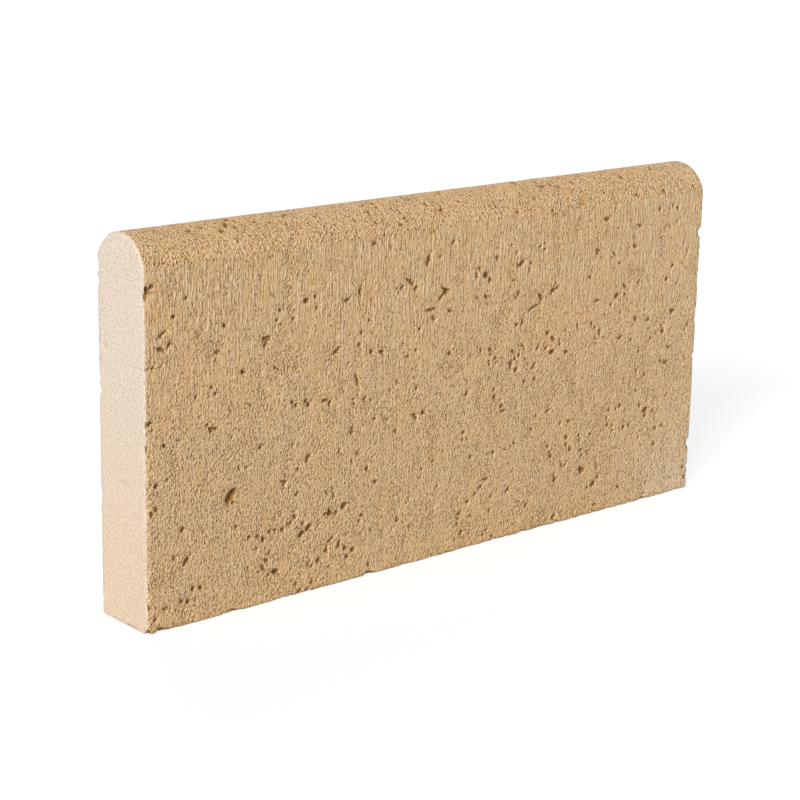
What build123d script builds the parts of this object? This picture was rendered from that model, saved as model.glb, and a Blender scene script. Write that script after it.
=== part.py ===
from build123d import *
import os

# Bullnose coping block of pressed limestone, standing on its square long edge.
# Origin: centre of the base. +X runs along the block, +Y through its thickness, +Z up to the nose.
# All sizes are in millimetres.

# Driving dimensions
length = 400.0           # end to end
thickness = 40.0         # between the two broad faces
height = 200.0           # base to the crown of the nose
nose_rise = 15.0         # crown above the creases; under half the thickness, so each crease is sharp
end_arris_radius = 1.2   # rubbed edge around each end face
base_arris_radius = 1.0  # rubbed long edges of the base


def cross_section():
    """Outline across the block: square base, two upright broad faces and one arc over the top."""
    half_thickness = thickness / 2
    crease_height = height - nose_rise
    crease_front = (-half_thickness, crease_height)
    crease_back = (half_thickness, crease_height)
    crown = (0, height)
    with BuildSketch(Plane.YZ) as section:
        with BuildLine():
            Polyline(crease_back, (half_thickness, 0), (-half_thickness, 0), crease_front)
            ThreePointArc(crease_front, crown, crease_back)
        make_face()
    return section.sketch


def coping_block():
    """The whole block: the cross-section run along its length, with its arrises rubbed round."""
    block = extrude(cross_section(), amount=length / 2, both=True)
    base_edges = block.faces().sort_by(Axis.Z)[0].edges().filter_by(Axis.X)
    block = fillet(base_edges, radius=base_arris_radius)
    end_edges = [edge for face in block.faces().filter_by(Axis.X) for edge in face.edges()]
    return fillet(end_edges, radius=end_arris_radius)


os.makedirs("parts", exist_ok=True)
block = coping_block()
export_step(block, "parts/coping_block.step")
print("volume in litres", round(block.volume / 1e6, 4))
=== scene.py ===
import math

import bpy
import numpy as np
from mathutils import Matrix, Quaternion, Vector


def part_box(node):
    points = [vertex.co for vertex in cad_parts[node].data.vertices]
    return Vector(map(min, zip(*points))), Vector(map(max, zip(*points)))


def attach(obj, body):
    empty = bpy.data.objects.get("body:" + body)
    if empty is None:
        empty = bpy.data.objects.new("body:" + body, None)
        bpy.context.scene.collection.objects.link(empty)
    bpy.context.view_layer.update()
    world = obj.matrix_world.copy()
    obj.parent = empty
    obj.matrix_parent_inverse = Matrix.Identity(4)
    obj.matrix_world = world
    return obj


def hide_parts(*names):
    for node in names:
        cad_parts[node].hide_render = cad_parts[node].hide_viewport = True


# Bullnose coping block of pressed limestone, dressed around its CAD solid.
# The block stands on its square long edge. +X runs along it, +Y through its thickness, +Z up to the nose.
# Blender works in metres. Shapes and patterns are worked out in millimetres.

bl_info = {
    "name": "Bullnose coping block",
    "version": (1, 0, 0),
    "blender": (4, 5, 0),
    "location": "3D View > Sidebar > Coping",
    "description": "Dresses a CAD coping block as pressed limestone and lights it on a pale floor",
    "category": "Object",
}

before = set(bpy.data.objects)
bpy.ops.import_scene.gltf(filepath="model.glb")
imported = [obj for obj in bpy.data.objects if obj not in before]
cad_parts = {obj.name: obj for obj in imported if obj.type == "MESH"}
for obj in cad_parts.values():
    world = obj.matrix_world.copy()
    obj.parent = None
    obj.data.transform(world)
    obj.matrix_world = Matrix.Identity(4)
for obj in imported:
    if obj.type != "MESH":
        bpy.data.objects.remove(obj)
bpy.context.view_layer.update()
block_low, block_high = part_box("coping_block")

MM = 0.001
block_length = block_high[0] - block_low[0]
block_thickness = block_high[1] - block_low[1]
block_height = block_high[2] - block_low[2]


# Settings that a user would change

class CopingSizes(bpy.types.PropertyGroup):
    """Sizes of the block and of its worn and torn skin."""

    length: bpy.props.FloatProperty(
        name="Length", description="End face to end face", default=block_length,
        unit="LENGTH", subtype="DISTANCE")
    thickness: bpy.props.FloatProperty(
        name="Thickness", description="Between the two broad faces", default=block_thickness,
        unit="LENGTH", subtype="DISTANCE")
    height: bpy.props.FloatProperty(
        name="Height", description="Base to the crown of the nose", default=block_height,
        unit="LENGTH", subtype="DISTANCE")
    nose_rise: bpy.props.FloatProperty(
        name="Nose rise", description="Crown of the nose above its two creases", default=15 * MM,
        unit="LENGTH", subtype="DISTANCE")
    arris_radius: bpy.props.FloatProperty(
        name="Arris radius", description="Least rounding of the ends' and the base's edges", default=0.8 * MM,
        unit="LENGTH", subtype="DISTANCE", precision=4)
    arris_wear: bpy.props.FloatProperty(
        name="Arris wear", description="How much rounder the edges are where they are rubbed most",
        default=1.3 * MM, unit="LENGTH", subtype="DISTANCE", precision=4)
    torn_depth: bpy.props.FloatProperty(
        name="Torn depth", description="How far the torn sand lies under the dragged skin", default=0.22 * MM,
        unit="LENGTH", subtype="DISTANCE", precision=4)
    cell: bpy.props.FloatProperty(
        name="Cell", description="Size of a cell of the grid that the skin is worked out on",
        default=0.7 * MM, unit="LENGTH", subtype="DISTANCE", precision=4)
    triangles: bpy.props.IntProperty(
        name="Triangles", description="Triangles that are left after flat places are thinned", default=194000)


class StoneColours(bpy.types.PropertyGroup):
    """Colours of the pressed limestone."""

    skin: bpy.props.FloatVectorProperty(
        name="Skin", description="Dragged skin of the broad faces", size=3, subtype="COLOR",
        default=(0.63, 0.43, 0.225))
    sand: bpy.props.FloatVectorProperty(
        name="Sand", description="Torn places and the nose", size=3, subtype="COLOR",
        default=(0.67, 0.425, 0.20))
    # Deeper brown of pit floors, and the colour that painted shade in pits, creases and bites darkens to.
    hollow_shade: bpy.props.FloatVectorProperty(
        name="Hollow", description="Bottoms of pits and creases", size=3, subtype="COLOR",
        default=(0.28, 0.13, 0.035))
    # Pale colour of raised grains: partly the sand's own pale grains, partly painted highlight.
    grain: bpy.props.FloatVectorProperty(
        name="Grain", description="Palest grains", size=3, subtype="COLOR",
        default=(0.84, 0.66, 0.45))
    end: bpy.props.FloatVectorProperty(
        name="End", description="Close cream stone of the two end faces", size=3, subtype="COLOR",
        default=(0.66, 0.56, 0.46))
    bloom: bpy.props.FloatVectorProperty(
        name="Bloom", description="Pale lime bloom low on the broad faces", size=3, subtype="COLOR",
        default=(0.70, 0.55, 0.38))


class CopingStage(bpy.types.PropertyGroup):
    """Camera and lights."""

    lens: bpy.props.FloatProperty(
        name="Lens", description="Focal length for a 36 mm wide sensor", default=93.84,
        unit="CAMERA", subtype="DISTANCE_CAMERA")
    eye: bpy.props.FloatVectorProperty(
        name="Eye", description="Where the camera stands", size=3, subtype="XYZ_LENGTH", unit="LENGTH",
        default=(-0.7456, -0.8227, 0.3863))
    aim: bpy.props.FloatVectorProperty(
        name="Aim", description="Point on the front face that the camera looks at", size=3,
        subtype="XYZ_LENGTH", unit="LENGTH", default=(-0.0370, -0.0200, 0.0946))
    roll: bpy.props.FloatProperty(
        name="Roll", description="Turn of the camera about its line of sight", default=math.radians(1.26),
        unit="ROTATION", subtype="ANGLE")
    key: bpy.props.FloatProperty(
        name="Key", description="Strength of the raking lamp at the left", default=3.6)
    fill: bpy.props.FloatProperty(
        name="Fill", description="Strength of the lamp from the front", default=0.3)
    back: bpy.props.FloatProperty(
        name="Back", description="Strength of the lamp behind the block", default=1.8)
    sky: bpy.props.FloatProperty(
        name="Sky", description="Strength of the grey world", default=0.24)
    floor_size: bpy.props.FloatProperty(
        name="Floor size", description="Side of the square floor", default=12.0, unit="LENGTH",
        subtype="DISTANCE")


# Noise and small helpers

NOISE_TABLE = 64


def smoothstep(low, high, value):
    """0 below low, 1 above high and an even S between them."""
    share = np.clip((value - low) / (high - low), 0.0, 1.0)
    return share * share * (3 - 2 * share)


def lattice_noise(points, cell, seed):
    """Smooth noise from -1 to 1: random values on a cubic lattice of that cell, blended along each axis."""
    table = np.random.default_rng(seed).uniform(-1, 1, (NOISE_TABLE, NOISE_TABLE, NOISE_TABLE))
    place = points / cell + 0.37
    corner = np.floor(place).astype(np.int64)
    part = place - corner
    blend = part ** 3 * (part * (part * 6 - 15) + 10)
    total = np.zeros(len(points))
    for step in np.ndindex(2, 2, 2):
        weight = np.prod(np.where(step, blend, 1 - blend), axis=1)
        cell_number = (corner + step) % NOISE_TABLE
        total += weight * table[cell_number[:, 0], cell_number[:, 1], cell_number[:, 2]]
    return total


# Marks of the front face, chosen from the photograph.
# Each row is (along, up, long, wide, turn from +X in degrees), in millimetres.

DEEP_TEARS = [
    (-148.5, 63, 8, 4, 50), (-178, 51, 2.6, 2.4, 0), (-176, 34, 6, 1.8, 60), (-193.5, 76.5, 2.2, 2.2, 0),
    (-103, 33, 4.5, 2.4, 35), (-98, 35.5, 5, 2.2, 35), (-18.5, 168, 7, 2, 70), (-5, 149.5, 3.2, 3, 0),
    (-88, 102.5, 4.5, 1.8, 0), (-85, 101, 3.5, 1.6, 60), (-26.5, 84.5, 2.6, 2.4, 0), (-59, 60.5, 2.4, 2.2, 0),
    (-84, 40.5, 3.2, 2.8, 0), (-86.5, 20.5, 2.6, 2.4, 0), (-91.5, 16, 3.6, 2, 50), (-37, 28, 4, 1.5, 90),
    (24, 155, 3.2, 2.8, 0), (27, 152, 3, 2, -45), (51, 158.5, 3.8, 2.4, 45), (67, 137, 3.4, 2.2, -45),
    (77.5, 104, 4.2, 2.2, 10), (78, 111.5, 3.4, 2.2, -40), (45, 101.5, 4.2, 2.2, 90), (29, 112.5, 2.2, 2, 0),
    (95.5, 43.5, 3, 1.8, 90), (84, 27, 3, 2.8, 0), (84, 4.5, 4.2, 2.2, 40), (129, 130, 3.8, 2, 20),
    (135.5, 135, 4.2, 1.7, -45), (177.5, 114.5, 2.7, 2.3, 0), (136.5, 62.5, 2.3, 2.2, 0),
    (158.5, 56.5, 4.2, 2.6, 20), (140.5, 48.7, 2.4, 2.2, 0), (106, 29, 4.4, 3.2, 0),
    (116.5, 18.5, 3.1, 2.8, 0), (145.5, 169.5, 2, 1.9, 0), (168, 33.5, 2.2, 2, 0), (-152, 151, 2.2, 2, 0),
    (-190, 144.5, 5, 1.6, -20),
]

PITS = [
    (-182.5, 159.5, 2, 2, 0), (-156.5, 138.5, 4, 2, 0), (-126, 141, 6, 2, 10), (-127, 138, 5, 1.4, 60),
    (-118, 154, 1.8, 1.8, 0), (-119.5, 149.5, 1.8, 1.8, 0), (-117, 147, 1.5, 1.5, 0),
    (-109.5, 148.5, 1.6, 1.6, 0), (-141, 126, 3, 2.4, 20), (-121, 125, 1.8, 1.8, 0), (-119, 124, 1.8, 1.8, 0),
    (-160, 121, 1.6, 1.6, 0), (-169.5, 117.5, 2, 2, 0), (-157.5, 117.5, 2, 2, 0), (-197, 108.5, 3, 1.8, 45),
    (-160.5, 99.5, 2.5, 2.3, 0), (-158, 99.5, 2, 2, 0), (-162.5, 102, 2, 2, 0), (-180, 97.5, 3, 1.4, 0),
    (-188.5, 96, 2, 2, 0), (-101, 157, 3, 2.6, 0), (-101, 104.5, 2, 2, 0), (-109.5, 105, 2, 2, 0),
    (-107, 103, 2, 2, 0), (-198, 174, 4, 3.4, 0), (-175, 168, 1.8, 1.6, 0), (-187, 78.7, 1.6, 1.6, 0),
    (-147, 59, 2.4, 2, 0), (-167.5, 18, 2.5, 2.2, 0), (-172, 18.5, 2, 2, 0), (-175, 12.5, 2.5, 2.2, 0),
    (-195, 7.5, 2, 2, 0), (-188, 12, 3, 1.4, 30), (-120, 16, 3.5, 2.8, 0), (-124.5, 15, 3, 1.4, 20),
    (-128, 35, 3, 2, 70), (-131.5, 37.5, 2, 2, 0), (-132, 31, 1.6, 1.6, 0), (-123.5, 38.5, 2, 1.8, 0),
    (-120, 38.5, 2, 1.8, 0), (-115.5, 38, 2, 1.8, 0), (-137, 38.3, 1.8, 1.8, 0), (-145, 45.5, 1.8, 1.8, 0),
    (-106, 55.5, 4, 1.4, 30), (-115, 64, 3, 1.4, 0), (-36.5, 155.5, 3, 2, 40), (-31, 158.5, 2, 2, 0),
    (-29.5, 157, 2, 2, 0), (-27, 154, 3, 2.6, 0), (-7.5, 151.5, 4, 1.5, -35), (-8.5, 147, 6, 1.5, 40),
    (-16, 141, 8, 1.5, 5), (-14, 136, 4, 1.6, -70), (-2, 138.5, 4, 1.6, -20), (-99, 102, 2, 2, 0),
    (-80.5, 128, 7, 1.5, 30), (-59, 141, 1.8, 1.8, 0), (-65.5, 157, 5, 1.6, 90), (-74.5, 154, 3, 2, 0),
    (-50, 123, 3, 2, 0), (-57, 124, 3, 2.4, 0), (-66.5, 110, 8, 1.5, -75), (-23.5, 131.5, 1.6, 1.6, 0),
    (-26, 120, 1.6, 1.6, 0), (-1.5, 115, 2, 2, 0), (-57, 97.5, 1.8, 1.8, 0), (-25, 99, 1.8, 1.8, 0),
    (-95, 158, 1.8, 1.8, 0), (-94, 152.5, 1.8, 1.8, 0), (-25, 82.5, 2, 2, 0), (-20, 84.5, 3, 2.4, 0),
    (-78, 73.5, 3, 1.3, 90), (-69.5, 66.5, 3, 1.4, 90), (-53, 52, 2, 2, 0), (-87, 41, 2.2, 1.6, 0),
    (-80, 40, 3, 1.6, 0), (-84.5, 43, 2.2, 1.6, 60), (-74.5, 43, 4, 3, 35), (-62, 35, 3, 1.6, -15),
    (-63.5, 32, 2, 2, 0), (-77.5, 22, 5, 1.7, 75), (-83, 26, 7, 1.4, 35), (-96, 14, 3, 1.6, 30),
    (-72, 13.5, 2.5, 2.2, 0), (-73, 19, 2.5, 2.2, 0), (-68, 17, 3, 2.4, 0), (-84, 11, 2, 1.3, 0),
    (-15, 29, 1.8, 1.8, 0), (-21, 48.5, 1.6, 1.6, 0), (-12, 55.5, 1.6, 1.6, 0), (-20, 52.5, 1.6, 1.6, 0),
    (-56.5, 6, 2, 2, 0), (-28, 21.5, 1.6, 1.6, 0), (32, 164, 3, 1.6, 90), (16.5, 155.5, 4, 1.6, 90),
    (19, 159, 2, 2, 0), (24.5, 142.5, 2.5, 2.2, 0), (58, 157.5, 2, 2, 0), (45, 149.5, 2.5, 1.3, 0),
    (49, 141.5, 4, 1.4, 90), (66.5, 137.5, 7, 1.4, -45), (60.5, 131.8, 8, 1.4, 27), (76.5, 140, 3, 2.6, 0),
    (69, 167.5, 1.6, 1.6, 0), (68.5, 164, 1.6, 1.6, 0), (65, 166, 1.6, 1.6, 0), (43, 169.5, 1.6, 1.6, 0),
    (48.5, 124, 2, 2, 0), (53.5, 124.5, 1.6, 1.6, 0), (73.5, 115.5, 2.5, 2.2, 0), (72.5, 107, 3, 1.7, 40),
    (83, 110, 2, 2, 0), (83.5, 107.5, 2, 2, 0), (89, 102.5, 3, 2.4, 0), (48, 104.5, 2, 2, 0),
    (46, 109, 2, 2, 0), (51, 106, 2, 2, 0), (49, 98, 2.5, 2.3, 0), (33, 107, 2, 2, 0),
    (28.5, 106, 1.6, 1.6, 0),
    (29, 104, 1.6, 1.6, 0), (55, 109, 1.6, 1.6, 0), (97.5, 116.5, 4, 1.4, 90), (62, 97, 4, 1.4, 40),
    (39, 78.5, 3, 2, 0), (40, 75.5, 4, 1.5, 10), (37.5, 82, 1.6, 1.6, 0), (56, 90, 2.5, 1.4, 0),
    (64.5, 90.5, 2, 2, 0), (10.5, 68, 2.5, 1.7, 0), (10, 64, 1.8, 1.8, 0), (13, 64, 1.6, 1.6, 0),
    (75.5, 69.5, 3, 2, 20), (67, 68, 1.6, 1.6, 0), (86.5, 60.5, 1.8, 1.8, 0), (93.5, 60.5, 3, 1.6, -40),
    (16.5, 53, 2, 2, 0), (33.5, 52.5, 3, 1.5, 90), (42.5, 52.5, 1.6, 1.6, 0), (50, 55, 2.5, 1.2, 90),
    (77, 48.5, 3, 1.6, 90), (92, 51.5, 2, 2, 0), (15, 27.5, 2.5, 2, 0), (20.5, 30.5, 3, 1.6, 30),
    (24.5, 34, 4, 1.5, 40), (28.5, 38, 5, 1.6, 10), (46.5, 29, 2, 2, 0), (45, 27.5, 1.6, 1.6, 0),
    (33, 27, 2, 2, 0), (32, 18.5, 2, 2, 0), (18, 18.5, 2, 1.3, 0), (55, 19.5, 3, 1.3, 0), (61, 16, 2, 2, 0),
    (88.8, 35, 4, 1.3, -60), (92, 34.5, 4, 1.3, 30), (83, 29.5, 2.6, 1.4, 60), (30.5, 7.5, 3, 1.4, 0),
    (28, 5.5, 1.6, 1.6, 0), (35, 3, 1.8, 1.6, 0), (67.5, 7, 2, 1.3, 0), (118, 176, 4, 2, 0),
    (124.5, 181.5, 1.6, 1.6, 0), (162.5, 177.5, 2, 2, 0), (124.5, 125.5, 2, 2, 0), (138.5, 132.5, 2, 1.3, 0),
    (136, 130, 3, 1.4, -40), (147, 135.5, 1.8, 1.8, 0), (171.5, 134.5, 2.5, 1.8, 0), (176, 142, 2, 2, 0),
    (113, 129, 4, 1.4, 0), (125, 155, 4, 1.3, -50), (130.5, 149, 1.6, 1.6, 0), (179.5, 114.5, 1.6, 1.6, 0),
    (109, 116, 2, 2, 0), (112, 114, 2, 2, 0), (115.5, 111, 2, 2, 0), (116, 109, 2, 2, 0),
    (134, 104.5, 4, 1.8, 20),
    (146, 114, 3, 2.2, -45), (143, 102, 2, 2, 0), (192.5, 104, 3, 1.5, 90), (190.5, 101.5, 1.6, 1.6, 0),
    (112, 107, 1.8, 1.8, 0), (112.5, 158.5, 3, 1.4, -45), (127, 61.5, 1.8, 1.8, 0), (133, 61.5, 1.8, 1.8, 0),
    (158.5, 53, 2, 2, 0), (125.5, 57, 3, 1.4, 90), (144.5, 49.5, 2, 1.6, 0), (130, 51.5, 1.8, 1.8, 0),
    (131, 48.5, 1.8, 1.8, 0), (126.5, 52.5, 1.8, 1.8, 0), (112, 49.5, 2.5, 1.6, 45), (102.5, 50.5, 2, 2, 0),
    (103, 47.5, 2, 2, 0), (149.5, 69.8, 1.8, 1.8, 0), (156.5, 78.5, 2, 2, 0), (143.5, 74.7, 1.6, 1.6, 0),
    (149, 82, 2.5, 1.4, 90), (175.5, 83.7, 2, 2, 0), (191, 84.5, 1.8, 1.8, 0), (174.5, 44.5, 2.5, 1.8, 0),
    (168.5, 43.5, 3, 1.6, 90), (154, 40.5, 3, 1.5, 90), (167.5, 20.5, 1.4, 1.4, 0), (120, 21.5, 2, 2, 0),
    (111.5, 17, 2, 2, 0), (115, 17, 1.6, 1.6, 0), (118, 5, 3, 1.6, 0), (196, 14, 2, 2, 0),
    (137.5, 12.5, 2.5, 1.3, 0), (165.5, 55, 1.8, 1.8, 0), (-189, 152, 6, 1.3, 35), (-185, 146.5, 4, 1.4, 60),
]

# Marks of the nose: (along, distance along the arc from the crown towards the front, long, wide, turn).
NOSE_TEARS = [
    (-148, 12, 5, 2.2, 35), (-143, 7.5, 6, 2.2, 60), (-165, 8.5, 4, 2, 60), (-157, 7, 5, 1.8, 30),
    (-104, 5.5, 6, 1.8, 30), (-108, 13, 2.5, 2, 0), (-88, 10, 2.2, 1.8, 0), (-46, 5, 3.4, 2.4, 60),
    (-54, 12, 3, 2, 40), (-53, 19.5, 3, 2, -40), (-38, 11.8, 2, 2, 0), (-6, 17, 5, 3, 35),
    (-8, 11, 3, 1.6, 0), (3, 3, 4.5, 1.8, 35), (9, 12.8, 3, 1.5, 10), (75, 9.5, 7, 2, 15),
    (82, 9, 4, 2, 50), (86, 11.5, 3.6, 1.8, 20), (99, 9, 4, 2, 20), (93, 4, 3, 1.8, 60),
    (138, 10.5, 3, 2.4, 30), (119, 8, 2.6, 1.8, 0), (118, 20, 2.6, 2, 0), (143, 24, 4, 2, 0),
    (166, 24, 2.4, 3, 0), (47, 24.5, 3, 2, 0), (158, 12, 2.4, 2, 0), (192, 23, 2.4, 1.8, 0),
    (-125, 8, 5, 1.6, 25), (-120, 2, 3, 1.6, 60), (20, 9, 2.2, 2, 0), (145, 4, 4, 1.4, 40),
]

# Bites out of the arrises: (along, across, up, size).
ARRIS_BITES = [
    (200, -20, 159.5, 4.0), (200, -20, 84, 2.2), (200, -20, 29, 3.6), (200, -20, 14, 2.2),
    (200, -20, 128, 1.8),
    (-200, -20, 0, 3.4), (-192, -20, 0, 3.2), (-188, -20, 0, 2.0), (-147, -20, 0, 2.6), (-57, -20, 0, 3.2),
    (-53, -20, 0, 1.8), (37, -20, 0, 2.6), (87, -20, 0, 2.6), (-200, -20, 171, 2.6), (-200, -20, 108, 2.2),
    (-200, -20, 96, 1.8), (-200, 20, 118, 2.6), (-200, 20, 60, 1.8), (118, -20, 0, 2.0), (160, -20, 0, 1.8),
    (-110, -20, 0, 1.8), (0, -20, 0, 1.6), (200, 20, 70, 2.6), (200, 20, 130, 2.0), (120, 20, 0, 3.0),
    (-80, 20, 0, 2.4), (20, 20, 0, 2.0), (-160, 20, 0, 2.6), (170, 20, 0, 1.8),
]


# Shape of the block

class Outline:
    """The block's own numbers in millimetres, worked out once from the sizes."""

    def __init__(self, sizes):
        self.half_length = sizes.length / MM / 2
        self.half_thickness = sizes.thickness / MM / 2
        self.height = sizes.height / MM
        rise = sizes.nose_rise / MM
        self.crease = self.height - rise
        self.arc_radius = (self.half_thickness ** 2 + rise ** 2) / (2 * rise)
        self.arc_centre = self.height - self.arc_radius
        self.arc_angle = math.asin(self.half_thickness / self.arc_radius)


def lattice_skin(counts):
    """Outside of a lattice of cells: each of its six faces is a grid of lattice points, and the points that
    faces share are welded by their number. Gives each point's place in the lattice, and the squares."""
    shape = tuple(count + 1 for count in counts)
    squares = []
    for axis in range(3):
        first = (axis + 1) % 3
        second = (axis + 2) % 3
        step, other = np.meshgrid(np.arange(counts[first]), np.arange(counts[second]), indexing="ij")
        for side in (0, 1):
            corners = []
            for along, across in ((0, 0), (1, 0), (1, 1), (0, 1)):
                place = [None, None, None]
                place[axis] = np.full(step.shape, side * counts[axis])
                place[first] = step + along
                place[second] = other + across
                corners.append(np.ravel_multi_index(place, shape).ravel())
            grid = np.stack(corners, axis=1)
            squares.append(grid if side else grid[:, ::-1])
    numbers, welded = np.unique(np.concatenate(squares), return_inverse=True)
    places = np.stack(np.unravel_index(numbers, shape), axis=1)
    return places, welded.reshape(-1, 4)


def sharp_block(outline, cell):
    """Points and squares of the block with sharp edges: a box of lattice cells whose columns are spaced by
    even steps of angle along the nose's arc, each column being stretched up to the arc."""
    cell_over_nose = 1.25 * cell
    along_cells = round(2 * outline.half_length / cell)
    across_cells = round(2 * outline.arc_angle * outline.arc_radius / cell_over_nose)
    up_cells = round(outline.crease / cell)
    places, squares = lattice_skin((along_cells, across_cells, up_cells))
    share = places / np.array((along_cells, across_cells, up_cells))
    angle = outline.arc_angle * (2 * share[:, 1] - 1)
    points = np.empty(places.shape)
    points[:, 0] = outline.half_length * (2 * share[:, 0] - 1)
    points[:, 1] = outline.arc_radius * np.sin(angle)
    points[:, 2] = share[:, 2] * (outline.arc_centre + outline.arc_radius * np.cos(angle))
    return points, squares


def round_arrises(outline, points, radius):
    """Each point is taken to the nearest point of the block shrunk by the radius, and pushed out again by
    the radius, which rounds every outer edge. Gives the points and the way out at each."""
    core = points.copy()
    core[:, 0] = np.clip(points[:, 0], radius - outline.half_length, outline.half_length - radius)
    core[:, 1] = np.clip(points[:, 1], radius - outline.half_thickness, outline.half_thickness - radius)
    core[:, 2] = np.maximum(points[:, 2], radius)
    lift = core[:, 2] - outline.arc_centre
    reach = np.hypot(core[:, 1], lift)
    pull = np.where(lift > 0, np.minimum(1.0, (outline.arc_radius - radius) / np.maximum(reach, 1e-6)), 1.0)
    core[:, 1] *= pull
    core[:, 2] = outline.arc_centre + lift * pull
    outward = points - core
    outward /= np.linalg.norm(outward, axis=1)[:, None]
    return core + outward * radius[:, None], outward


def nose_point(outline, along, arc):
    """Place and way out at a distance along the nose's arc from the crown, positive towards the front."""
    angle = arc / outline.arc_radius
    out = np.array((0.0, -math.sin(angle), math.cos(angle)))
    return np.array((along, 0.0, outline.arc_centre)) + outline.arc_radius * out, out


def placed_marks(outline):
    """The listed marks, as rows of (centre, way out, long half, wide half, turn, depth, crumble).
    Each kind of mark has its half size and its depth as shares of its size, and the crumble round it."""
    rows = []
    front = np.array((0.0, -1.0, 0.0))
    for marks, half, steepness, crumble in ((DEEP_TEARS, 0.6, 0.75, 2.1), (PITS, 0.6, 0.6, 1.7)):
        for along, up, long, wide, turn in marks:
            centre = (along, -outline.half_thickness, up)
            rows.append((centre, front, half * long, half * wide, turn, steepness * wide, crumble))
    for along, arc, long, wide, turn in NOSE_TEARS:
        centre, out = nose_point(outline, along, arc)
        rows.append((centre, out, long / 2, wide / 2, turn, 0.45 * wide, 1.9))
    return rows


def scattered_marks(points, outward, count, seed):
    """Small marks strewn over the skin, thick where a slow noise is high, as rows like placed_marks gives.
    The ends get few, and the front fewer than the back, since its larger marks are placed already."""
    usual_width = 0.9
    width_scatter = 0.42
    widest = 1.6
    widest_on_back = 2.6
    half = 0.75
    chance = np.random.default_rng(seed)
    crowd = smoothstep(-0.1, 0.8, lattice_noise(points, cell=16.0, seed=seed + 1))
    crowd *= smoothstep(-0.3, 0.6, lattice_noise(points, cell=6.0, seed=seed + 2)) + 0.05
    share_of_end = smoothstep(0.5, 0.9, np.abs(outward[:, 0]))
    share_of_front = smoothstep(0.5, 0.9, -outward[:, 1])
    weight = crowd * (1 - 0.93 * share_of_end) * (1 - 0.55 * share_of_front)
    chosen = chance.choice(len(points), count, replace=False, p=weight / weight.sum())
    rows = []
    for number in chosen:
        on_end = share_of_end[number] > 0.5
        on_back = outward[number, 1] > 0.5
        limit = widest_on_back if on_back else widest
        wide = min(usual_width * math.exp(width_scatter * chance.normal()), limit)
        long = wide * (1 + abs(chance.normal()) * 0.7)
        turn = 90 + 40 * chance.normal()
        depth = wide * (0.35 if on_end else 0.6) * chance.uniform(0.6, 1.1)
        rows.append((points[number], outward[number], long * half, wide * half, turn, depth, 1.5))
    return rows


def press_marks(points, rows, seed):
    """Depth and torn share that the marks give each point. A mark is an ellipse with crumbling sides. With u
    and v the point's place along and across it, moved a little by noise, and h its height over the skin,
    the depth is an S of the root of (u/long)^2 + (v/wide)^2 + (h/tall)^2. The skin round it is torn."""
    order = np.argsort(points[:, 0])
    sorted_x = points[order, 0]
    sway = np.stack([lattice_noise(points, cell=1.7, seed=seed + axis) for axis in range(3)], axis=1)
    depth = np.zeros(len(points))
    torn = np.zeros(len(points))
    for centre, out, long, wide, turn, deep, crumble in rows:
        centre = np.asarray(centre)
        level = np.cross((0.0, 0.0, 1.0), out) if abs(out[2]) < 0.9 else np.array((1.0, 0.0, 0.0))
        level = level / np.linalg.norm(level)
        rise = np.cross(out, level)
        angle = math.radians(turn)
        run = level * math.cos(angle) + rise * math.sin(angle)
        side = np.cross(out, run)
        reach = long * crumble + 1.0
        start, stop = np.searchsorted(sorted_x, (centre[0] - reach, centre[0] + reach))
        near = order[start:stop]
        near = near[np.abs(points[near] - centre).max(axis=1) < reach]
        away = points[near] - centre + sway[near] * min(0.45 * wide, 0.7)
        tall = 1.3 * wide
        ratio = np.sqrt((away @ run / long) ** 2 + (away @ side / wide) ** 2 + (away @ out / tall) ** 2)
        depth[near] = np.maximum(depth[near], deep * smoothstep(1.05, 0.45, ratio))
        torn[near] = np.maximum(torn[near], smoothstep(crumble, 0.9, ratio))
    return depth, torn


def bite_arrises(points, seed):
    """Depth of the bites out of the arrises: a ball with a rough skin takes away what lies inside it."""
    depth = np.zeros(len(points))
    rough = lattice_noise(points, cell=1.6, seed=seed)
    for along, across, up, size in ARRIS_BITES:
        away = np.linalg.norm(points - (along, across, up), axis=1) / size + 0.22 * rough
        depth = np.maximum(depth, 0.55 * size * smoothstep(1.0, 0.35, away))
    return depth


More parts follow.
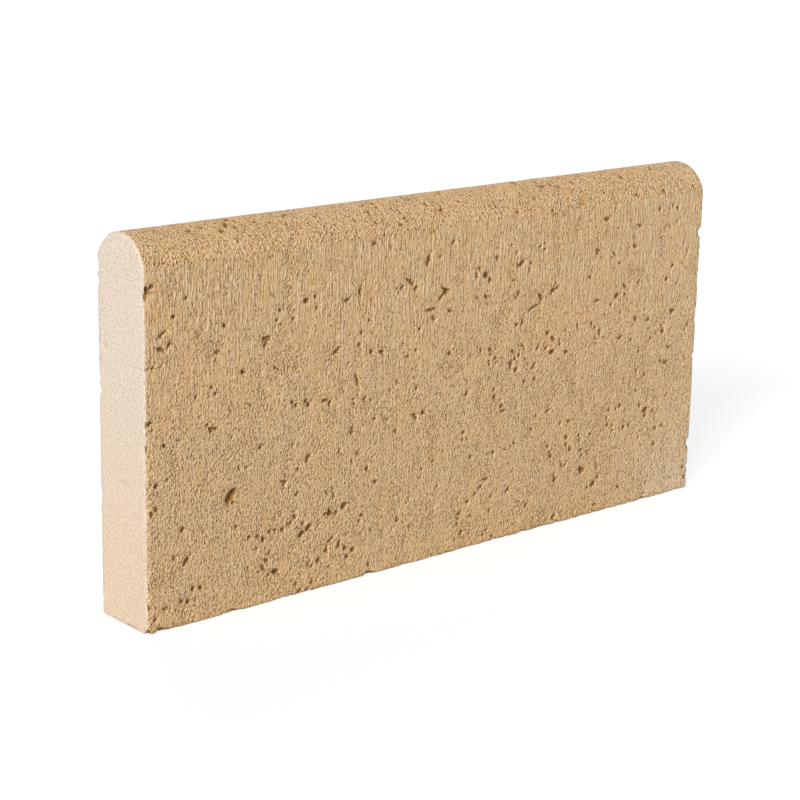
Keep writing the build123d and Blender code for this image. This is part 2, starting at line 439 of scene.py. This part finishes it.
def block_skin(sizes):
    """Points, squares, depth of the hollows, which the material paints as shade, and torn share of the whole
    block.
    The sharp block is rounded. Each point then sinks against the way out by the sum of slow unevenness,
    grit, a ledge where the skin is torn, the marks, the bites and the crumbs of the arrises. Nothing is
    raised, so all stays in the CAD box. Cells and depths are in millimetres."""
    slow_depth = 0.10
    wave_depth = 0.05
    grit_depth = 0.035
    crumb_depth = 0.16
    arris_crumb_depth = 0.3
    outline = Outline(sizes)
    sharp, squares = sharp_block(outline, sizes.cell / MM)
    wear = smoothstep(-0.2, 0.8, lattice_noise(sharp, cell=14.0, seed=11))
    wear *= smoothstep(-0.6, 0.5, lattice_noise(sharp, cell=3.0, seed=12))
    radius = (sizes.arris_radius + sizes.arris_wear * wear) / MM
    points, outward = round_arrises(outline, sharp, radius)

    broad = 1 - smoothstep(0.5, 0.9, np.abs(outward[:, 0]))
    rows = placed_marks(outline) + scattered_marks(points, outward, count=1500, seed=21)
    marks, torn = press_marks(points, rows, seed=31)
    bites = bite_arrises(points, seed=41)
    patches = lattice_noise(points * (1, 1, 0.55), cell=9.0, seed=51)
    patches += 0.5 * lattice_noise(points * (1, 1, 0.7), cell=3.4, seed=52)
    torn = np.maximum(torn, smoothstep(0.4, 0.85, patches)) * broad

    # An arris is where the way out leaves the six square directions. The nose's own curve isn't one.
    across = np.hypot(outward[:, 1], outward[:, 2])
    turned = np.minimum(np.abs(outward[:, 0]), across)
    base_turned = np.where(outward[:, 2] < 0, np.minimum(np.abs(outward[:, 1]), -outward[:, 2]), 0)
    near_arris = smoothstep(0.05, 0.4, np.maximum(turned, base_turned))
    crumbs = lattice_noise(points, cell=1.5, seed=61)
    uneven = slow_depth * (1 + lattice_noise(points, cell=26.0, seed=71))
    uneven += wave_depth * (1 + lattice_noise(points, cell=8.0, seed=72))
    grit = grit_depth * (1 + lattice_noise(points, cell=2.4, seed=73))
    ledge = torn * (sizes.torn_depth / MM + crumb_depth * crumbs)
    arris_crumbs = near_arris * arris_crumb_depth * (1 + lattice_noise(points, cell=1.8, seed=81))
    depth = uneven * broad + grit + ledge + marks + bites + arris_crumbs
    # Depth of the hollows of marks, bites and crumbled arrises, by which the material paints shade.
    hollow_shade = marks + bites + 0.4 * arris_crumbs
    return points - outward * np.maximum(depth, 0)[:, None], squares, hollow_shade, torn


def mesh_from(name, points, squares, shares):
    """A mesh of the points, in millimetres, and squares, with each named share as a number on its points."""
    mesh = bpy.data.meshes.new(name)
    mesh.vertices.add(len(points))
    mesh.vertices.foreach_set("co", (points * MM).ravel())
    mesh.loops.add(squares.size)
    mesh.loops.foreach_set("vertex_index", squares.ravel())
    mesh.polygons.add(len(squares))
    mesh.polygons.foreach_set("loop_start", np.arange(0, squares.size, 4))
    mesh.update(calc_edges=True)
    for label, values in shares.items():
        layer = mesh.attributes.new(label, "FLOAT", "POINT")
        layer.data.foreach_set("value", values)
    return mesh


def numbers_of(items, name, per_item=1, kind=np.float64):
    """One property of all of a mesh's points, corners or faces, as one long array."""
    values = np.empty(len(items) * per_item, kind)
    items.foreach_get(name, values)
    return values


def thinned(piece, triangles, outline):
    """Collapses edges where the skin is flattest until that many triangles are left, and keeps the result.
    A point that this takes a hair outside the block's box is set back onto it."""
    piece.data.calc_loop_triangles()
    thin = piece.modifiers.new("thin", "DECIMATE")
    thin.ratio = triangles / len(piece.data.loop_triangles)
    evaluated = piece.evaluated_get(bpy.context.evaluated_depsgraph_get())
    mesh = bpy.data.meshes.new_from_object(evaluated)
    points = numbers_of(mesh.vertices, "co", per_item=3)
    low = np.array((-outline.half_length, -outline.half_thickness, 0.0)) * MM
    high = np.array((outline.half_length, outline.half_thickness, outline.height)) * MM
    mesh.vertices.foreach_set("co", np.clip(points.reshape(-1, 3), low, high).ravel())
    piece.modifiers.clear()
    crowded = piece.data
    piece.data = mesh
    bpy.data.meshes.remove(crowded)
    mesh.name = piece.name


def unroll_skin(piece, outline):
    """UV map of the whole skin without overlaps: the two broad faces and the nose unrolled as one sheet, the
    base above it, and the two ends side by side in the strip at the right. Each triangle belongs to the face
    that its middle is nearest to."""
    mesh = piece.data
    gap = 1.6
    sheet = 2 * outline.crease + 2 * outline.arc_angle * outline.arc_radius
    side = sheet + 2 * outline.half_thickness + 3 * gap
    points = numbers_of(mesh.vertices, "co", per_item=3).reshape(-1, 3) / MM
    corners = numbers_of(mesh.loops, "vertex_index", kind=np.int32)
    starts = numbers_of(mesh.polygons, "loop_start", kind=np.int32)
    counts = numbers_of(mesh.polygons, "loop_total", kind=np.int32)
    owner = np.repeat(np.arange(len(mesh.polygons)), counts)
    place = points[corners]
    middle = np.add.reduceat(place, starts, axis=0) / counts[:, None]

    lift = middle[:, 2] - outline.arc_centre
    under_nose = outline.arc_radius - np.hypot(middle[:, 1], lift)
    under_side = outline.half_thickness - np.abs(middle[:, 1])
    distances = np.stack((
        np.where(middle[:, 2] > outline.crease, under_nose, under_side),
        middle[:, 2],
        middle[:, 0] + outline.half_length,
        outline.half_length - middle[:, 0],
    ))
    face = np.argmin(distances, axis=0)[owner]
    behind = (middle[:, 1] > 0)[owner]

    angle = np.arctan2(-place[:, 1], place[:, 2] - outline.arc_centre)
    down_face = outline.arc_angle * outline.arc_radius + outline.crease - place[:, 2]
    down_face *= np.where(behind, -1, 1)
    over = np.where(place[:, 2] > outline.crease, outline.arc_radius * angle, down_face)
    across = place[:, 0] + outline.half_length
    through = place[:, 1] + outline.half_thickness
    map_u = np.where(face < 2, across, 2 * outline.half_length + gap + through)
    map_v = np.select([face == 0, face == 1, face == 2],
                      [over + sheet / 2, sheet + gap + through, place[:, 2]],
                      outline.height + gap + place[:, 2])
    layer = mesh.uv_layers.new(name="OFBake")
    values = np.stack(((map_u + gap) / side, (map_v + gap) / side), axis=1)
    layer.data.foreach_set("uv", values.ravel())


# Node helpers

class Nodes:
    """Adds nodes to a tree and joins them, with each row of nodes set out from left to right."""

    def __init__(self, tree):
        self.tree = tree
        self.tree.nodes.clear()
        self.count = 0

    def add(self, kind, label="", inputs=None, **settings):
        """A node of that kind with its settings, its inputs joined to sockets or set to values."""
        node = self.tree.nodes.new(kind)
        node.label = label
        node.location = ((self.count % 8) * 200, -(self.count // 8) * 260)
        self.count += 1
        for name, value in settings.items():
            setattr(node, name, value)
        for name, value in (inputs or {}).items():
            if isinstance(value, bpy.types.NodeSocket):
                self.tree.links.new(value, node.inputs[name])
            else:
                node.inputs[name].default_value = value
        return node

    def math(self, operation, *values):
        """One Math node. Its values are sockets or numbers."""
        inputs = dict(enumerate(values))
        return self.add("ShaderNodeMath", operation.lower(), inputs, operation=operation).outputs[0]

    def ramp(self, value, low, high, start=0.0, end=1.0):
        """Smooth step of the value from start to end between low and high."""
        inputs = {"Value": value, "From Min": low, "From Max": high, "To Min": start, "To Max": end}
        node = self.add("ShaderNodeMapRange", "ramp", inputs, interpolation_type="SMOOTHSTEP")
        return node.outputs["Result"]

    def mix(self, share, first, second):
        """Mixes two colours."""
        inputs = {0: share, 6: first, 7: second}
        return self.add("ShaderNodeMix", "mix", inputs, data_type="RGBA").outputs[2]

    def scaled(self, vector, scale):
        """A vector times another, axis by axis."""
        inputs = {0: vector, 1: scale}
        return self.add("ShaderNodeVectorMath", "scale", inputs, operation="MULTIPLY").outputs[0]

    def noise(self, vector, scale, detail=2.0, roughness=0.5):
        """Noise from 0 to 1 with that many cells in a millimetre."""
        inputs = {"Vector": vector, "Scale": scale, "Detail": detail, "Roughness": roughness}
        return self.add("ShaderNodeTexNoise", "noise", inputs).outputs["Fac"]

    def pushed(self, vector, scale, amount):
        """A place pushed about by up to half the amount, by noise with that many cells in a millimetre."""
        noise = self.add("ShaderNodeTexNoise", "push", {"Vector": vector, "Scale": scale, "Detail": 0.0})
        middle = self.add("ShaderNodeVectorMath", "even", {0: noise.outputs["Color"], 1: (0.5, 0.5, 0.5)},
                          operation="SUBTRACT")
        far = self.scaled(middle.outputs[0], (amount, amount, amount))
        return self.add("ShaderNodeVectorMath", "moved", {0: vector, 1: far}, operation="ADD").outputs[0]

    def blend(self, share, first, second):
        """Mixes two numbers."""
        return self.add("ShaderNodeMix", "blend", {0: share, 2: first, 3: second}).outputs[0]

    def group(self, tree, label, inputs):
        """Places a node group. Gives its first output."""
        return self.add("ShaderNodeGroup", label, inputs, node_tree=tree).outputs[0]

    def seen_straight(self):
        """1 where the camera sees a thing by itself, in a mirror or through glass, and 0 for other light."""
        path = self.add("ShaderNodeLightPath", "path").outputs
        bent = self.math("MAXIMUM", path["Is Glossy Ray"], path["Is Transmission Ray"])
        return self.math("MAXIMUM", path["Is Camera Ray"], bent)


def new_group(name, inputs, outputs):
    """An empty node group with sockets of the given kinds. Gives the group, its nodes, its input node's
    outputs and its output node's inputs."""
    group = bpy.data.node_groups.new(name, "ShaderNodeTree")
    for label, kind, default in inputs:
        socket = group.interface.new_socket(label, in_out="INPUT", socket_type=kind)
        if default is not None:
            socket.default_value = default
    for label, kind in outputs:
        group.interface.new_socket(label, in_out="OUTPUT", socket_type=kind)
    nodes = Nodes(group)
    source = nodes.add("NodeGroupInput", "in")
    result = nodes.add("NodeGroupOutput", "out")
    return group, nodes, source.outputs, result.inputs


def sand_grain_group():
    """Pressed sand: rounded grains, broken up by a noise of their own size and one about half as large.
    Height in millimetres for a relief of 1, mostly from -0.5 to 0.5."""
    group, nodes, given, out = new_group(
        "Pressed sand grain",
        [("Place", "NodeSocketVector", None), ("Grains per mm", "NodeSocketFloat", 0.8)],
        [("Height", "NodeSocketFloat")])
    pushed = nodes.pushed(given["Place"], 0.9, 0.5)
    grains = nodes.add("ShaderNodeTexVoronoi", "grains", {"Vector": pushed, "Scale": given["Grains per mm"]})
    coarse = nodes.noise(given["Place"], given["Grains per mm"], detail=0.0)
    finer = nodes.noise(given["Place"], nodes.math("MULTIPLY", given["Grains per mm"], 1.9), detail=0.0)
    height = nodes.math("MULTIPLY_ADD", grains.outputs["Distance"], -0.55, 0.25)
    height = nodes.math("ADD", height, nodes.math("MULTIPLY_ADD", coarse, 1.2, -0.6))
    height = nodes.math("ADD", height, nodes.math("MULTIPLY_ADD", finer, 0.7, -0.35))
    group.links.new(height, out["Height"])
    return group


def drag_line_group():
    """Lines that the mould drew up the broad faces: grains smeared along the vertical, a little and far.
    Height in millimetres for a relief of 1, mostly from -0.5 to 0.5."""
    group, nodes, given, out = new_group(
        "Mould drag lines",
        [("Place", "NodeSocketVector", None), ("Lines per mm", "NodeSocketFloat", 0.7)],
        [("Height", "NodeSocketFloat")])
    smeared = nodes.scaled(given["Place"], (1.0, 1.0, 0.30))
    short = nodes.noise(smeared, given["Lines per mm"], detail=1.0, roughness=0.5)
    smeared_far = nodes.scaled(given["Place"], (1.0, 1.0, 0.08))
    long = nodes.noise(smeared_far, given["Lines per mm"], detail=0.0)
    height = nodes.math("MULTIPLY_ADD", short, 1.3, -0.65)
    height = nodes.math("ADD", height, nodes.math("MULTIPLY_ADD", long, 0.7, -0.35))
    group.links.new(height, out["Height"])
    return group


def torn_crumb_group():
    """Gaps between torn crumbs: the borders of cells in a place pushed about by noise, open along part of
    their length. 1 in a gap and 0 on a crumb."""
    group, nodes, given, out = new_group(
        "Torn crumbs",
        [("Place", "NodeSocketVector", None), ("Crumbs per mm", "NodeSocketFloat", 0.33),
         ("Gap width", "NodeSocketFloat", 0.15), ("Open share", "NodeSocketFloat", 0.5)],
        [("Gap", "NodeSocketFloat")])
    pushed = nodes.pushed(given["Place"], 0.45, 2.2)
    borders = nodes.add("ShaderNodeTexVoronoi", "crumbs", {"Vector": pushed, "Scale": given["Crumbs per mm"]},
                        feature="DISTANCE_TO_EDGE")
    line = nodes.ramp(borders.outputs["Distance"], 0.0, given["Gap width"], 1.0, 0.0)
    patch = nodes.noise(given["Place"], nodes.math("MULTIPLY", given["Crumbs per mm"], 1.3), detail=1.0)
    shut = nodes.math("MULTIPLY_ADD", given["Open share"], -0.4, 0.7)
    kept = nodes.ramp(patch, shut, nodes.math("ADD", shut, 0.1))
    group.links.new(nodes.math("MULTIPLY", line, kept), out["Gap"])
    return group


def colour(values):
    """Red, green and blue with full opacity."""
    return (values[0], values[1], values[2], 1.0)


def limestone_material(colours, outline):
    """Pressed limestone: beige dragged skin and more orange torn sand on the broad faces, orange grain on
    the nose, close cream grain on the ends, a deeper brown with painted shade in every pit, gap and low
    place, and pale raised grains that are partly painted highlight. Patterns are in millimetres."""
    material = bpy.data.materials.new("pressed_limestone")
    material.use_nodes = True
    nodes = Nodes(material.node_tree)
    given = nodes.add("ShaderNodeTexCoord", "place").outputs["Object"]
    place = nodes.scaled(given, (1 / MM, 1 / MM, 1 / MM))
    axes = nodes.add("ShaderNodeSeparateXYZ", "axes", {0: place}).outputs
    hollow_shade = nodes.add("ShaderNodeAttribute", "hollow_shade", attribute_name="hollow_shade").outputs["Fac"]
    torn = nodes.add("ShaderNodeAttribute", "torn", attribute_name="torn").outputs["Fac"]

    # Shares of the faces
    wander = nodes.noise(place, 0.5, detail=2.0)
    along = nodes.math("ABSOLUTE", axes["X"])
    end_edge = nodes.math("MULTIPLY_ADD", wander, 0.5, outline.half_length - 0.95)
    end = nodes.math("GREATER_THAN", along, end_edge)
    nose_edge = nodes.math("MULTIPLY_ADD", wander, 3.0, outline.crease - 2.2)
    nose = nodes.ramp(nodes.math("SUBTRACT", axes["Z"], nose_edge), -0.4, 0.6)

    # Heights in millimetres
    grain_tree = sand_grain_group()
    grain = nodes.group(grain_tree, "grain", {
        "Place": nodes.scaled(place, (1.0, 1.0, 0.75)), "Grains per mm": 0.92})
    fine = nodes.group(grain_tree, "fine grain", {"Place": place, "Grains per mm": 0.75})
    drag = nodes.group(drag_line_group(), "drag", {"Place": place, "Lines per mm": 0.85})
    gap = nodes.group(torn_crumb_group(), "crumb gaps", {
        "Place": place, "Crumbs per mm": 0.34, "Gap width": 0.12, "Open share": 0.42})
    upper = nodes.ramp(axes["Z"], outline.crease - 110, outline.crease - 10, 0.3, 0.85)
    dragged = nodes.math("MULTIPLY", nodes.math("SUBTRACT", 1.0, torn), upper)
    dragged = nodes.math("MULTIPLY", dragged, nodes.math("SUBTRACT", 1.0, nose))
    patches = nodes.noise(nodes.scaled(place, (1.0, 1.0, 0.5)), 0.11, detail=1.0)
    relief = nodes.ramp(patches, 0.35, 0.65, 0.6, 0.95)
    broad = nodes.math("MULTIPLY", nodes.blend(dragged, grain, drag), relief)
    speck = nodes.ramp(grain, -0.28, -0.5, 0.0, 1.0)
    open_gap = nodes.math("MULTIPLY", gap, nodes.ramp(torn, 0.0, 0.8, 0.10, 0.7))
    speck_depth = 0.35
    gap_depth = 0.45
    end_relief = 0.32
    sunk = nodes.math("MULTIPLY_ADD", speck, -speck_depth, broad)
    sunk = nodes.math("MULTIPLY_ADD", open_gap, -gap_depth, sunk)
    height = nodes.blend(end, sunk, nodes.math("MULTIPLY", fine, end_relief))
    bump = nodes.add("ShaderNodeBump", "relief", {"Strength": 1.0, "Distance": MM, "Height": height})

    # Colours
    slow = nodes.noise(nodes.scaled(place, (1.0, 1.0, 0.6)), 0.05, detail=3.0, roughness=0.6)
    low_rim = nodes.ramp(nodes.math("MULTIPLY_ADD", slow, -30.0, axes["Z"]), -16.0, 12.0, 0.8, 0.0)
    drifts = nodes.ramp(slow, 0.4, 0.7, 0.0, 0.7)
    sandy = nodes.math("MAXIMUM", nodes.math("MULTIPLY", torn, 0.6), nodes.math("MULTIPLY", nose, 0.85))
    sandy = nodes.math("MAXIMUM", sandy, nodes.math("MAXIMUM", low_rim, drifts))
    stone = nodes.mix(sandy, colour(colours.skin), colour(colours.sand))
    bloom_along = nodes.ramp(nodes.math("MULTIPLY_ADD", slow, 60.0, axes["X"]), 150.0, 215.0)
    bloom = nodes.math("MULTIPLY", bloom_along, nodes.ramp(axes["Z"], 5.0, 60.0, 0.6, 0.15))
    stone = nodes.mix(bloom, stone, colour(colours.bloom))
    # Raised grains paler: partly the sand's own pale grains, partly painted highlight on the tops of the
    # relief.
    stone = nodes.mix(nodes.ramp(broad, 0.0, 0.25, 0.0, 0.6), stone, colour(colours.grain))
    # Painted shade in the low places of the grain relief, in the deeper brown of the hollows.
    low_grain_shade = nodes.ramp(broad, 0.0, -0.3, 0.0, 0.35)
    # Painted shade in pits, bites and crumbled arrises, by the depth of their hollows.
    deep_shade = nodes.ramp(hollow_shade, 0.05, 0.6, 0.0, 0.92)
    # Painted shade in the gaps between torn crumbs and in the sunk specks of the grain.
    gap_shade = nodes.math("MULTIPLY", nodes.math("MAXIMUM", open_gap, speck), 0.6)
    # The strongest painted shade darkens the stone towards the deeper brown of the hollows.
    shade_share = nodes.math("MAXIMUM", low_grain_shade, nodes.math("MAXIMUM", deep_shade, gap_shade))
    broad_colour = nodes.mix(shade_share, stone, colour(colours.hollow_shade))
    speckle = nodes.ramp(nodes.noise(place, 0.6, detail=2.0, roughness=0.7), 0.47, 0.64, 0.0, 0.24)
    end_marks = nodes.ramp(nodes.noise(place, 0.3, detail=3.0, roughness=0.65), 0.62, 0.74, 0.0, 0.8)
    end_low = nodes.ramp(axes["Z"], 0.0, 160.0, 0.3, 0.0)
    end_sand = nodes.math("MAXIMUM", end_marks, end_low)
    end_colour = nodes.mix(end_sand, colour(colours.end), colour(colours.sand))
    # Dark specks of the ends' own stone, and painted shade in their pits and bites.
    end_specks_and_shade = nodes.math("MAXIMUM", speckle, nodes.ramp(hollow_shade, 0.2, 1.0, 0.0, 0.6))
    end_colour = nodes.mix(end_specks_and_shade, end_colour, colour(colours.hollow_shade))
    skin_colour = nodes.mix(end, broad_colour, end_colour)

    shader = nodes.add("ShaderNodeBsdfPrincipled", "stone", {
        "Base Color": skin_colour, "Normal": bump.outputs["Normal"],
        "Roughness": 0.92, "Specular IOR Level": 0.25})
    nodes.add("ShaderNodeOutputMaterial", "surface", {"Surface": shader.outputs["BSDF"]})
    return material


# Stage

# Ways that the lamps' light comes from, and how wide their suns are in degrees
KEY_FROM = (-0.80, -0.42, 0.43)
FILL_FROM = (-0.10, -0.90, 0.42)
BACK_FROM = (0.60, 0.70, 0.38)
KEY_WIDTH = 22.0
SOFT_WIDTH = 60.0

# Greys of the floor: what it gives back to the block, and what the camera sees of its shade and its glow
BOUNCE_GREY = 0.55
SHADE_GREY = 0.34
FLOOR_GLOW = 0.72
WHITE = (1.0, 1.0, 1.0, 1.0)


def floor_material():
    """Pale floor. The camera sees it white where it is lit and grey in the block's shadow, and the block
    gets a plain grey bounce from it."""
    material = bpy.data.materials.new("pale_floor")
    material.use_nodes = True
    nodes = Nodes(material.node_tree)
    seen = nodes.seen_straight()
    plain = nodes.add("ShaderNodeBsdfDiffuse", "grey", {"Color": colour([BOUNCE_GREY] * 3)})
    lit = nodes.add("ShaderNodeBsdfDiffuse", "pale", {"Color": colour([SHADE_GREY] * 3)})
    glow = nodes.add("ShaderNodeEmission", "lift", {"Color": WHITE, "Strength": FLOOR_GLOW})
    white = nodes.add("ShaderNodeAddShader", "white", {0: lit.outputs[0], 1: glow.outputs[0]})
    both = nodes.add("ShaderNodeMixShader", "seen", {0: seen, 1: plain.outputs[0], 2: white.outputs[0]})
    nodes.add("ShaderNodeOutputMaterial", "surface", {"Surface": both.outputs[0]})
    return material


def white_world(strength):
    """Grey light from all round. The camera and mirrors see plain white."""
    world = bpy.data.worlds.new("studio")
    world.use_nodes = True
    bpy.context.scene.world = world
    nodes = Nodes(world.node_tree)
    seen = nodes.seen_straight()
    grey = nodes.add("ShaderNodeBackground", "grey", {"Color": WHITE, "Strength": strength})
    white = nodes.add("ShaderNodeBackground", "white", {"Color": WHITE, "Strength": 1.0})
    both = nodes.add("ShaderNodeMixShader", "seen", {0: seen, 1: grey.outputs[0], 2: white.outputs[0]})
    nodes.add("ShaderNodeOutputWorld", "world", {"Surface": both.outputs[0]})


def add_sun(name, towards, strength, width):
    """A sun in that direction from the block, as wide in degrees as asked."""
    lamp = bpy.data.lights.new(name, "SUN")
    lamp.energy = strength
    lamp.angle = math.radians(width)
    lamp_object = bpy.data.objects.new(name, lamp)
    lamp_object.rotation_euler = Vector(towards).to_track_quat("Z", "Y").to_euler()
    bpy.context.collection.objects.link(lamp_object)


def place_camera(stage):
    """The photograph's camera: it looks from the eye to the aim, turned a little about that line."""
    camera = bpy.data.cameras.new("camera")
    camera.lens = stage.lens
    camera.sensor_width = 36.0
    camera_object = bpy.data.objects.new("camera", camera)
    eye = Vector(stage.eye)
    sight = (Vector(stage.aim) - eye).to_track_quat("-Z", "Y")
    camera_object.location = eye
    camera_object.rotation_euler = (sight @ Quaternion((0.0, 0.0, 1.0), stage.roll)).to_euler()
    bpy.context.collection.objects.link(camera_object)
    bpy.context.scene.camera = camera_object


# Operators

class CopingBlock(bpy.types.Operator):
    """Build the block with its torn skin, pits and worn arrises, in place of the plain CAD solid"""

    bl_idname = "coping.block"
    bl_label = "Coping block"

    def execute(self, context):
        sizes = context.scene.coping_sizes
        outline = Outline(sizes)
        points, squares, hollow_shade, torn = block_skin(sizes)
        mesh = mesh_from("limestone_block", points, squares, {"hollow_shade": hollow_shade, "torn": torn})
        block = bpy.data.objects.new("limestone_block", mesh)
        context.collection.objects.link(block)
        thinned(block, sizes.triangles, outline)
        if not len(block.data.polygons):
            raise RuntimeError("the block has no faces left")
        block.data.shade_smooth()
        unroll_skin(block, outline)
        block.data.materials.append(limestone_material(context.scene.stone_colours, outline))
        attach(block, "root")
        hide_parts("coping_block")
        return {"FINISHED"}


class CopingStudio(bpy.types.Operator):
    """Set the camera, the lamps, the white world and the pale floor"""

    bl_idname = "coping.studio"
    bl_label = "Studio"

    def execute(self, context):
        stage = context.scene.coping_stage
        context.scene.view_settings.view_transform = "Standard"
        place_camera(stage)
        white_world(stage.sky)
        add_sun("raking_key", KEY_FROM, stage.key, KEY_WIDTH)
        add_sun("front_fill", FILL_FROM, stage.fill, SOFT_WIDTH)
        add_sun("back_lamp", BACK_FROM, stage.back, SOFT_WIDTH)
        half = stage.floor_size / 2
        mesh = bpy.data.meshes.new("floor")
        corners = [(-half, -half, 0), (half, -half, 0), (half, half, 0), (-half, half, 0)]
        mesh.from_pydata(corners, [], [(0, 1, 2, 3)])
        floor = bpy.data.objects.new("floor", mesh)
        mesh.materials.append(floor_material())
        context.collection.objects.link(floor)
        return {"FINISHED"}


class CopingPanel(bpy.types.Panel):
    """Sidebar panel with the sizes, the colours and the steps"""

    bl_idname = "VIEW3D_PT_coping"
    bl_label = "Bullnose coping block"
    bl_space_type = "VIEW_3D"
    bl_region_type = "UI"
    bl_category = "Coping"

    def draw(self, context):
        for group in (context.scene.coping_sizes, context.scene.stone_colours, context.scene.coping_stage):
            box = self.layout.box()
            for name in group.bl_rna.properties.keys():
                if name not in ("rna_type", "name"):
                    box.prop(group, name)
        self.layout.operator(CopingStudio.bl_idname)
        self.layout.operator(CopingBlock.bl_idname)


CLASSES = (CopingSizes, StoneColours, CopingStage, CopingBlock, CopingStudio, CopingPanel)


def register():
    """Registers the classes and hangs the settings on the scene."""
    for entry in CLASSES:
        bpy.utils.register_class(entry)
    bpy.types.Scene.coping_sizes = bpy.props.PointerProperty(type=CopingSizes)
    bpy.types.Scene.stone_colours = bpy.props.PointerProperty(type=StoneColours)
    bpy.types.Scene.coping_stage = bpy.props.PointerProperty(type=CopingStage)


def unregister():
    """Takes the settings and the classes away again."""
    del bpy.types.Scene.coping_stage
    del bpy.types.Scene.stone_colours
    del bpy.types.Scene.coping_sizes
    for entry in reversed(CLASSES):
        bpy.utils.unregister_class(entry)


def main():
    """Builds the stage and the block."""
    register()
    bpy.ops.coping.studio()
    bpy.ops.coping.block()


if __name__ == "__main__":
    main()
